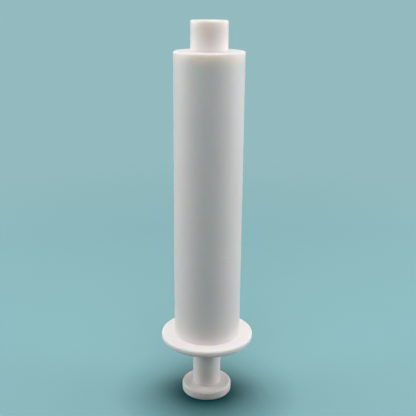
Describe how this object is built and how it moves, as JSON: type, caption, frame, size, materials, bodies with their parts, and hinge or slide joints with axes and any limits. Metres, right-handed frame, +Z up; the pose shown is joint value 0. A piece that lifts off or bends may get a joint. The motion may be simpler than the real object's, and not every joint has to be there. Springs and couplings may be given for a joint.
{
  "type": "ptfe syringe",
  "caption": "White turned PTFE hand syringe: thick round barrel with finger flange and stub nozzle, stacked piston with seals on a plunger rod with a thumb disc, drawing and pushing liquid.",
  "frame": {"origin": "on the syringe's axis at the underside of the thumb disc, on which it stands with the plunger pushed home", "axes": "+Z up along the syringe's axis, from the thumb disc to the nozzle; X and Y are free, because every piece is round"},
  "size_m": [0.056, 0.056, 0.227],
  "materials": {
    "ptfe": "turned, waxy satin white",
    "fkm_rubber": "moulded, dull black"
  },
  "bodies": {
    "plunger": {"thumb_disc": "ptfe", "plunger_rod": "ptfe", "piston_rear_plate": "ptfe", "piston_spacer": "ptfe", "piston_nose": "ptfe"},
    "seals": {"rear_o_ring": "fkm_rubber", "rear_slipper_ring": "ptfe", "guide_band": "ptfe", "front_o_ring": "fkm_rubber", "front_slipper_ring": "ptfe"},
    "barrel": {"rear_cap": "ptfe", "finger_flange": "ptfe", "barrel_tube": "ptfe", "nozzle_gasket": "fkm_rubber", "nozzle": "ptfe"}
  },
  "joints": [
    {"name": "plunger_spin", "type": "hinge", "parent": "plunger", "child": "seals", "pos_m": [0, 0, 0.19], "axis": [0, 0, 1], "continuous": true},
    {"name": "plunger_stroke", "type": "slide", "parent": "seals", "child": "barrel", "axis": [0, 0, 1], "range_m": [0, 0.141]}
  ]
}
